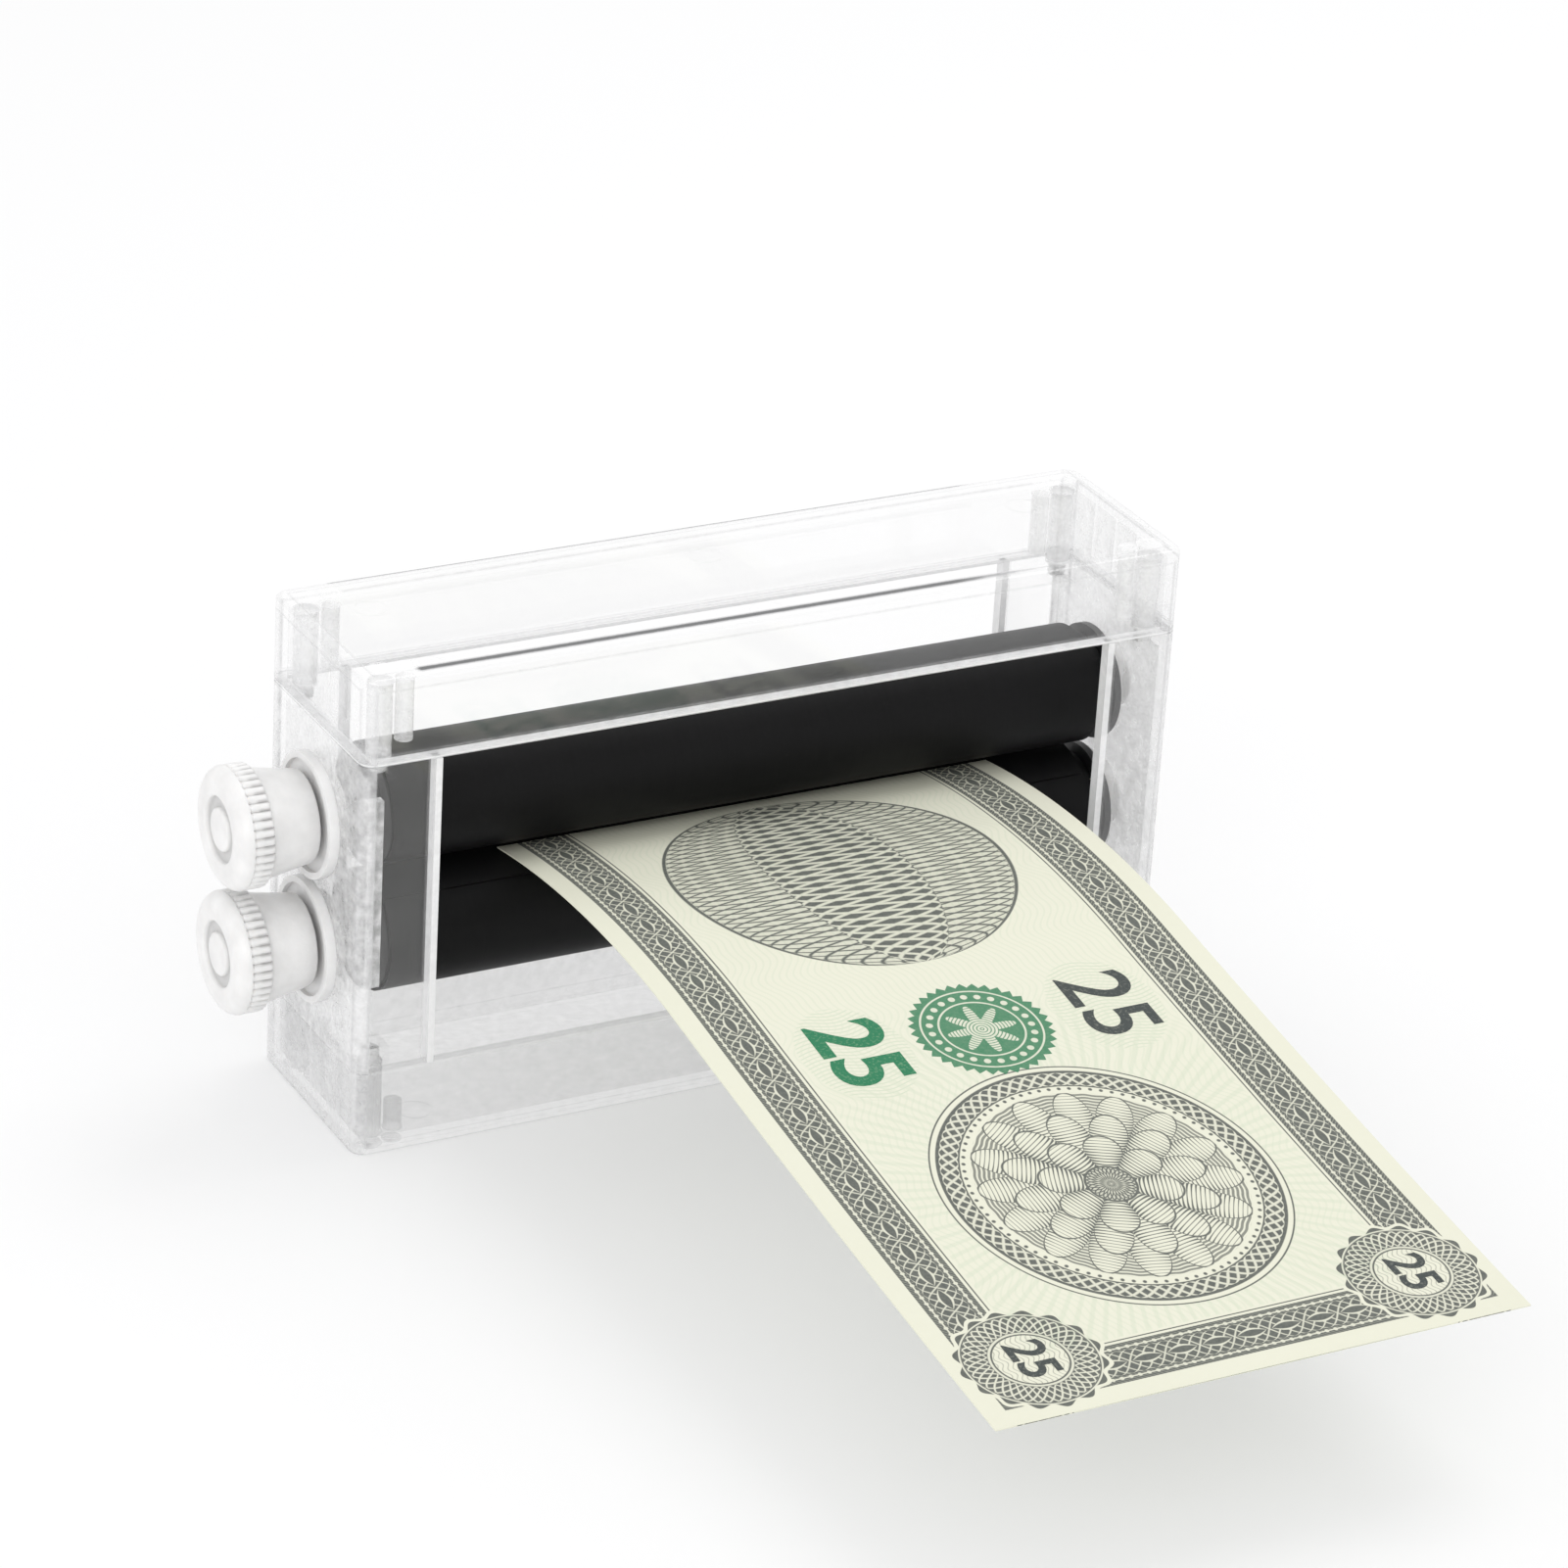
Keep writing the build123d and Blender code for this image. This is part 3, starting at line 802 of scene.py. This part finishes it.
def winding_rule():
    """Geometry Nodes: wind a flat strip, 1 wide and one long per half turn, round an X axis.

    Each half turn is a half circle, half a step smaller than the one over it. The strip's
    right edge is askew, so the wound sheet grows wider towards the core. It is then given
    its thickness, outwards.
    """
    tree = Growth(
        "wound_sheet",
        Outer_Radius=1.0,
        Step=0.1,
        Thickness=0.01,
        Half_Turns=6.0,
        Start_Angle=0.0,
        Axis_Height=0.0,
        Left=0.0,
        Outer_Right=1.0,
        Inner_Right=1.0,
        Taper=0.0,
    )
    across, along, level = tree.place()
    turn = along.least(tree.size("Half Turns") - 0.0001)
    turn = turn.math("FLOOR", turn)
    step = tree.size("Step")
    radius = tree.size("Outer Radius") - tree.size("Thickness") - step * (2 * turn + 1) / 4
    centre = tree.size("Start Angle") + turn * pi
    angle = centre + (along - turn) * pi
    right = tree.size("Outer Right") + tree.size("Taper") * (along - 0.5)
    right = right.most(tree.size("Outer Right")).least(tree.size("Inner Right"))
    moved = tree.node(
        "GeometryNodeSetPosition",
        Geometry=tree.geometry,
        Position=tree.point(
            tree.size("Left") + across * (right - tree.size("Left")),
            centre.cosine() * step / 4 + angle.cosine() * radius,
            tree.size("Axis Height") + centre.sine() * step / 4 + angle.sine() * radius,
        ),
    )
    outwards = -tree.size("Thickness")
    outside = tree.node(
        "GeometryNodeExtrudeMesh", Mesh=moved, Offset_Scale=outwards, Individual=False
    )
    inside = tree.node("GeometryNodeFlipFaces", Mesh=moved)
    both = tree.node("GeometryNodeJoinGeometry", Geometry=outside)
    tree.tree.links.new(inside.socket, both.socket.node.inputs[0])
    closed = tree.node("GeometryNodeMergeByDistance", Geometry=both, Distance=0.000001)
    tree.finish(closed)
    return tree


def flat_strip(columns, rows):
    """Flat strip of paper-thin mesh, 1 wide and half_turns long."""
    mesh = bpy.data.meshes.new("flat_strip")
    points = [
        (i / columns, half_turns * j / rows, 0) for j in range(rows + 1) for i in range(columns + 1)
    ]
    row = columns + 1
    faces = [
        (j * row + i, j * row + i + 1, (j + 1) * row + i + 1, (j + 1) * row + i)
        for j in range(rows)
        for i in range(columns)
    ]
    mesh.from_pydata(points, [], faces)
    return mesh


winding = winding_rule()
strip = flat_strip(8, half_turns * points_per_half)
for level, axis_z, start in (
    ("upper", upper_axis_z, -90 + strand_wrap),
    ("lower", lower_axis_z, 90 + strand_wrap),
):
    wound = winding.grow(
        level + "_wound_sheet",
        strip,
        black,
        Outer_Radius=winding_radius,
        Step=turn_step,
        Thickness=sheet_thickness,
        Half_Turns=float(half_turns),
        Start_Angle=radians(start),
        Axis_Height=axis_z,
        Left=sheet_left,
        Outer_Right=outer_right,
        Inner_Right=sheet_right,
        Taper=sheet_taper,
    )
    face_outwards(wound.data)
    shade_smooth(wound.data)
    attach(wound, level + "_roller")
    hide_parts(level + "_sheet_winding")

strand_radius = winding_radius + strand_clearance + sheet_thickness / 2
strand_angle = acos(strand_radius / (pitch / 2))
wrap = radians(strand_wrap)
strand_steps = 16
strand_line = []
for axis_z, start, end in (
    (upper_axis_z, wrap - pi / 2, strand_angle - pi / 2),
    (lower_axis_z, strand_angle + pi / 2, wrap + pi / 2),
):
    for i in range(strand_steps + 1):
        a = start + (end - start) * i / strand_steps
        strand_line.append((strand_radius * cos(a), axis_z + strand_radius * sin(a)))
strand = ribbon("nip_strand", strand_line, sheet_left, outer_right, sheet_thickness, 8)
wear(strand, black)
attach(strand, "housing")
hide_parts("sheet_strand")


# ---- Play note -------------------------------------------------------------------------
# A printed note of thin cream paper, gripped in the nip: it rises a little as it leaves the
# rollers, rolls over a gentle crest and sweeps down. Its print is a made-up play design.
note_rise = radians(10.0)
note_fall = radians(9.5)
note_crest_radius = 140.0 * MM
note_sweep_radius = 1400.0 * MM
note_lift = 0.12 * MM
note_thickness = 0.15 * MM
note_low, note_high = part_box("play_note")
note_tail_y = note_high.y
crest_length = note_crest_radius * (note_rise + note_fall)


def note_point(s):
    """(y, z) of the note's underside at s along it from the nip."""
    phi = note_rise - min(s, crest_length) / note_crest_radius
    out = note_crest_radius * (sin(note_rise) - sin(phi))
    up = note_crest_radius * (cos(phi) - cos(note_rise))
    if s > crest_length:
        psi = -note_fall + (s - crest_length) / note_sweep_radius
        out += note_sweep_radius * (sin(psi) + sin(note_fall))
        up += note_sweep_radius * (cos(note_fall) - cos(psi))
    return note_tail_y - out, nip_z + note_lift + up


def note_length_out():
    """Length along the note from the nip to its far edge, found by halving."""
    short, long = 0.0, 0.3
    for _ in range(40):
        middle = (short + long) / 2
        if note_point(middle)[0] > note_low.y:
            short = middle
        else:
            long = middle
    return short


note_length = note_length_out()
note_width = note_high.x - note_low.x


def note_surface(across, from_edge, lift):
    """Point of the note: mm across it, mm in from its far edge, and metres over its underside."""
    s = note_length - from_edge * MM
    y, z = note_point(s)
    ahead = note_point(s + 0.05 * MM)
    dy, dz = ahead[0] - y, ahead[1] - z
    size = sqrt(dy * dy + dz * dz)
    return (note_low.x + across * MM, y + dz / size * lift, z - dy / size * lift)


print_width = note_width / MM
print_length = note_length / MM
note_columns = 24
note_rows = 160
under_side_shift = 200.0


def note_mesh():
    """Closed sheet of paper on the note's curve, its UVs in millimetres of the print."""
    points, faces, coords = [], [], []
    for lift in (note_thickness, 0.0):
        for j in range(note_rows + 1):
            for i in range(note_columns + 1):
                across = print_width * i / note_columns
                from_edge = print_length * j / note_rows
                points.append(note_surface(across, from_edge, lift))
                coords.append((across, from_edge + (under_side_shift if lift == 0.0 else 0.0)))
    row = note_columns + 1
    under = row * (note_rows + 1)
    for j in range(note_rows):
        for i in range(note_columns):
            a = j * row + i
            faces.append((a, a + 1, a + row + 1, a + row))
            faces.append((under + a, under + a + row, under + a + row + 1, under + a + 1))
    for i in range(note_columns):
        for a in (i, note_rows * row + i):
            faces.append((a, a + 1, under + a + 1, under + a))
    for j in range(note_rows):
        for a in (j * row, j * row + note_columns):
            faces.append((a, a + row, under + a + row, under + a))
    mesh = finished_mesh("printed_note", points, faces)
    uv = mesh.uv_layers.new(name="print")
    for loop in mesh.loops:
        uv.data[loop.index].uv = coords[loop.vertex_index]
    shade_smooth(mesh)
    return mesh


class Print(Finish):
    """The note's paper and ink, drawn in millimetres across (u) and in from the far edge (v).

    side is the distance in from the nearer long edge, and edge that from the nearest edge.
    """

    soft = 0.035

    def __init__(self, name):
        super().__init__(name)
        point = self.node("UVMap", {"uv_map": "print"})
        parts = self.tree.nodes.new("ShaderNodeSeparateXYZ")
        feed(self.tree, parts.inputs[0], point)
        self.u = Value(self.tree, parts.outputs[0])
        raw = Value(self.tree, parts.outputs[1])
        self.under = raw.step(under_side_shift - 20, 1.0)
        self.v = raw - self.under * under_side_shift
        self.side = print_width / 2 - abs(self.u - print_width / 2)
        self.edge = self.side.least(self.v)

    def lines(self, value, pitch, share):
        """Stripes of ink: share of every pitch of value."""
        return abs((value / pitch).fraction() - 0.5).below(share / 2, self.soft / pitch)

    def lathe(self, across, along, count, share):
        """Engine-turned net: count waves each way between across = -1 and 1."""
        swing = across.math("ARCSINE", across.most(-1.0).least(1.0))
        turns = count / (2 * pi)
        first = abs(((swing - along) * turns).fraction() - 0.5).below(share / 2, 0.06)
        second = abs(((swing + along) * turns).fraction() - 0.5).below(share / 2, 0.06)
        return first.most(second) * abs(across).below(1.0, 0.03)

    def beads(self, across, along, pitch, radius):
        """A row of round beads along a line."""
        off = ((along / pitch).fraction() - 0.5) * pitch
        return (across * across + off * off).root().below(radius, self.soft)


slate_ink = (0.050, 0.060, 0.058)
green_ink = (0.018, 0.190, 0.085)
underprint_ink = (0.50, 0.60, 0.44)
under_side_ink = (0.075, 0.150, 0.095)
note_paper = (0.775, 0.775, 0.650)
paper_shade = (0.715, 0.710, 0.575)
paper_margin = 2.6
band_width = 6.2
link_pitch = 8.6
pearl_row = 2.35
field_edge = paper_margin + band_width
rosette_radius = 8.0
rosette_place = field_edge + 0.6
medal_place = 34.0
medal_along = 21.0
medal_across = 19.0
medal_halo = 1.03
medal_ring = 0.86
medal_boss = 0.15
medal_beads = 84
seal_place = 64.0
seal_radius = 8.2
panel_place = 99.0
panel_along = 21.5
panel_across = 20.5
panel_core = 0.42
numeral_off = 16.2


def over(mask, lower, upper):
    """Ink of the lower motif, with the upper one in its place where the mask is 1."""
    return lower * (1 - mask) + mask * upper


def edge_bands(ink):
    """Bands along both long edges and the far edge, dark with pale turned work."""
    edge = ink.edge
    in_band = edge.step(paper_margin, ink.soft) * edge.below(field_edge, ink.soft)
    runs_long = (ink.v - ink.side).step(0.0, 0.02)
    along = runs_long * ink.v + (1 - runs_long) * ink.u
    across = edge - (paper_margin + band_width / 2)
    links = abs((along * (2 * pi / link_pitch)).cosine())
    net = ink.lathe(across / 1.9, along * (2 * pi / link_pitch), 6, 0.15)
    chain = abs(across).below(1.05 * links - 0.25, 0.05)
    heart = abs(across).below(0.72 * links - 0.20, 0.05)
    rules = abs(abs(across) - pearl_row).below(0.10, ink.soft)
    pearls = ink.beads(abs(across) - pearl_row, along, 1.1, 0.26)
    hatch = ink.lines(across + along, 0.5, 0.16) * abs(across).step(1.9, 0.04) * 0.45
    pale = net.most(chain).most(rules).most(pearls).most(hatch) * (1 - heart)
    frame_line = abs(edge - field_edge - 0.45).below(0.09, ink.soft)
    return (in_band * (1 - 0.90 * pale)).most(frame_line)


def corner_rosettes(ink):
    """Rosettes in both far corners, each with a clear disc for a numeral, and their halo."""
    du = ink.side - rosette_place
    dv = ink.v - rosette_place
    r = (du * du + dv * dv).root()
    turn = dv.angle(du)
    scallop = rosette_radius + 0.35 * (turn * 16).cosine()
    net = ink.lathe((r - 6.0) / 1.35, turn * 8, 5, 0.26)
    rings = abs(r - 7.6).below(0.10, ink.soft).most(abs(r - 4.45).below(0.14, ink.soft))
    disc = r.below(4.1, ink.soft)
    disc_waves = ink.lines(ink.u + 0.25 * (ink.v * 3.1).sine(), 0.62, 0.22) * 0.45
    rose = over(disc, 1 - 0.90 * net.most(rings), disc_waves)
    return r.below(scallop, ink.soft) * rose, r.below(scallop + 0.5, ink.soft)


def flower_medal(ink, m, a):
    """A beaded ring round an engraved flower of three tiers of petals.

    m and a are the distance and the angle from its middle, with its rim at m = 1.
    """
    flower = 0.80 * ink.lines(m * 20 + 0.06 * (a * 40).sine(), 0.55, 0.60)
    for reach, petals, phase in ((0.80, 16, 0.5), (0.62, 12, 0.0), (0.42, 8, 0.5)):
        bulge = abs((a * petals / 2 + phase * pi).cosine()).root()
        past_rim = m - reach * (0.62 + 0.38 * bulge)
        tone = 0.12 + 0.62 * (1 - bulge) + 0.40 * (1 - (m / reach).least(1.0))
        strokes = abs((m * 38 + 1.2 * bulge).fraction() - 0.5).below(tone / 2, 0.08)
        flower = over(past_rim.below(0.0, 0.004), flower, strokes)
        flower = flower.most(abs(past_rim).below(0.007, 0.003))
    boss_net = ink.lathe((m - medal_boss / 2) / 0.07, a * 6, 5, 0.35)
    flower = over(m.below(medal_boss, 0.004), flower, 0.25 + 0.75 * boss_net)
    flower = flower.most(abs(m - medal_boss).below(0.008, 0.003))
    ring = m.step(medal_ring, 0.003)
    ring_net = ink.lathe((m - 0.925) / 0.055, a * 18, 4, 0.30)
    bead_turn = ((a * (medal_beads / (2 * pi))).fraction() - 0.5) * (2 * pi / medal_beads)
    off = m - 0.84
    beads = (off * off + bead_turn * bead_turn * 0.7).root().below(0.012, 0.003)
    medal = over(ring, flower, 1 - 0.88 * ring_net)
    medal = medal * (1 - m.step(0.80, 0.003) * (1 - ring)) + beads * (1 - ring)
    return m.below(1.0, 0.003) * medal


def lens_panel(ink):
    """The panel by the rollers: a lens of crossing waves over fine rules."""
    pu = (ink.u - print_width / 2) / panel_across
    pv = (ink.v - panel_place) / panel_along
    lens = (1 - pv * pv).most(0.0001).root()
    net = ink.lathe(pu / lens, pv * 9.5, 12, 0.22)
    core_net = ink.lathe(pu / (panel_core * lens), pv * 14.0, 6, 0.30)
    in_lens = (abs(pu) - lens).below(0.0, 0.004)
    in_core = (abs(pu) - panel_core * lens).below(0.0, 0.004)
    panel = over(in_core, in_lens * (0.16 + 0.84 * net), 1 - 0.85 * core_net)
    rim = abs(abs(pu) - lens).below(0.012, 0.004)
    return panel.most(rim) * abs(pv).below(1.0, 0.003)


def ray_seal(ink):
    """A green disc with teeth round its rim, a row of pearls and a star of rays."""
    su = ink.u - print_width / 2
    sv = ink.v - seal_place
    q = (su * su + sv * sv).root()
    b = sv.angle(su)
    teeth = seal_radius + 0.38 * (4 * abs((b * (36 / (2 * pi))).fraction() - 0.5) - 1)
    rings = abs(q - 7.1).below(0.12, ink.soft).most(abs(q - 5.0).below(0.12, ink.soft))
    pearls = ink.beads(q - 6.05, b * 6.05, 2 * pi * 6.05 / 24, 0.42)
    ray = abs((b * 4).cosine())
    star = (q - 4.4 * (0.42 + 0.58 * ray.math("POWER", ray, 2.2))).below(0.0, 0.05)
    pale = rings.most(pearls).most(star * (1 - ink.lines(q, 0.42, 0.30)))
    in_seal = q.below(teeth, ink.soft)
    return in_seal * (1 - 0.92 * pale) * in_seal


def underprint(ink, m, a):
    """Pale waves and rays in the open field, and a hatched oval behind each big numeral."""
    u, v = ink.u, ink.v
    inner = ink.edge.step(field_edge + 0.9, 0.05) * (1 - m.below(medal_halo, 0.003))
    waves = ink.lines(u + 1.1 * (v * 0.42).sine() + 0.5 * (v * 0.95).cosine(), 0.9, 0.30)
    rays = ink.lines(a * 8.0, 0.5, 0.36) * m.below(1.55, 0.25)
    su = u - print_width / 2
    sv = v - seal_place
    ou = (abs(su) - numeral_off) / 6.6
    ov = sv / 8.6
    oval = (ou * ou + ov * ov).root().below(1.0, 0.02)
    oval_rules = ink.lines(sv + 0.5 * (su * 0.7).sine(), 0.62, 0.30) * oval
    return ((0.30 * waves + 0.45 * rays).least(0.6) * inner).most(0.9 * oval_rules)


def note_print():
    """A made-up play note: lathe-work bands, corner rosettes, a flower medal and a ray seal."""
    ink = Print("note_print")
    mu = (ink.u - print_width / 2) / medal_across
    mv = (ink.v - medal_place) / medal_along
    m = (mu * mu + mv * mv).root()
    a = mv.angle(mu)
    by_medal = m.below(medal_halo, 0.003)
    rosettes, halo = corner_rosettes(ink)
    dark = (edge_bands(ink) * (1 - halo)).most(rosettes)
    dark = dark * (1 - by_medal) + flower_medal(ink, m, a)
    dark = dark.most(abs(m - 1.035).below(0.005, 0.002) * (1 - halo))
    dark = dark.most(lens_panel(ink) * (1 - by_medal) * (1 - halo))
    green = ray_seal(ink)

    fibre = ink.noise(0.9 * MM, detail=5.0)
    blotch = ink.noise(14 * MM, detail=2.0)
    paper = ink.mix(0.35 * fibre + 0.25 * blotch, note_paper, paper_shade)
    paper = ink.mix(0.55 * underprint(ink, m, a) * (1 - ink.under), paper, underprint_ink)
    wear_off = 0.90 + 0.16 * (ink.noise(0.35 * MM, detail=3.0) - 0.5)
    shade = ink.mix(ink.under, slate_ink, under_side_ink)
    paper = ink.mix((dark * wear_off).least(1.0), paper, shade)
    paper = ink.mix((green * wear_off).least(1.0), paper, green_ink)
    relief = ink.bump(0.7 * fibre + 0.3 * dark.most(green), 0.03 * MM, 0.6)
    return ink.surface(
        ink.node(
            "BsdfPrincipled",
            Base_Color=paper,
            Roughness=0.72 - 0.10 * dark,
            Normal=relief,
            Specular_IOR_Level=0.30,
        )
    )


note = add_object("printed_note", note_mesh())
wear(note, note_print())
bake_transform(note)
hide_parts("play_note")


# ---- Numerals --------------------------------------------------------------------------
# Plain play numerals, printed with the note: dark ones in the corner rosettes, and a big green and
# a big dark one beside the seal. They follow the paper's curve.
numeral_text = "25"
corner_height = 4.6
field_height = 9.0
size_per_height = 1.38
ink_thickness = 0.02 * MM


def numeral(name, height, across, from_edge, ink_colour, bold):
    """Lay a flat numeral on the paper, centred on a place of the print, reading along the note."""
    curve = bpy.data.curves.new(name, "FONT")
    curve.body = numeral_text
    curve.size = height * size_per_height
    curve.offset = bold
    curve.align_x = "CENTER"
    curve.align_y = "CENTER"
    curve.resolution_u = 6
    letter = add_object(name + "_outline", curve)
    bpy.context.view_layer.update()
    outline = letter.evaluated_get(bpy.context.evaluated_depsgraph_get())
    mesh = bpy.data.meshes.new_from_object(outline)
    bpy.data.objects.remove(letter)
    work = bmesh.new()
    work.from_mesh(mesh)
    bmesh.ops.remove_doubles(work, verts=work.verts, dist=1e-5)
    bmesh.ops.triangulate(work, faces=work.faces)
    reach = height * len(numeral_text)
    for step in range(int(-reach), int(reach) + 1):
        bmesh.ops.bisect_plane(
            work,
            geom=work.verts[:] + work.edges[:] + work.faces[:],
            plane_co=(step, 0, 0),
            plane_no=(1, 0, 0),
        )
    raised = note_thickness + ink_thickness
    for vert in work.verts:
        vert.co = note_surface(across + vert.co.y, from_edge - vert.co.x, raised)
    for face in work.faces:
        face.normal_update()
        if face.normal.z < 0:
            face.normal_flip()
    work.to_mesh(mesh)
    work.free()
    mesh.name = name
    obj = add_object(name, mesh)
    wear(obj, ink_colour)
    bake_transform(obj)


def printing_ink(name, colour, worn):
    """Flat printing ink with worn specks."""
    finish = Finish(name)
    wear_specks_and_painted_streaks = finish.noise(0.35 * MM, detail=3.0)
    tone = finish.mix(0.5 * wear_specks_and_painted_streaks.step(0.62, 0.1), colour, worn)
    return finish.surface(
        finish.node("BsdfPrincipled", Base_Color=tone, Roughness=0.62, Specular_IOR_Level=0.3)
    )


slate = printing_ink("slate_ink", slate_ink, (0.25, 0.26, 0.22))
green = printing_ink("green_ink", green_ink, (0.25, 0.42, 0.25))
middle = print_width / 2
far_side = print_width - rosette_place
numeral("left_corner_numeral", corner_height, rosette_place, rosette_place, slate, 0.12)
numeral("right_corner_numeral", corner_height, far_side, rosette_place, slate, 0.12)
numeral("left_field_numeral", field_height, middle - numeral_off, seal_place, green, 0.25)
numeral("right_field_numeral", field_height, middle + numeral_off, seal_place, slate, 0.10)
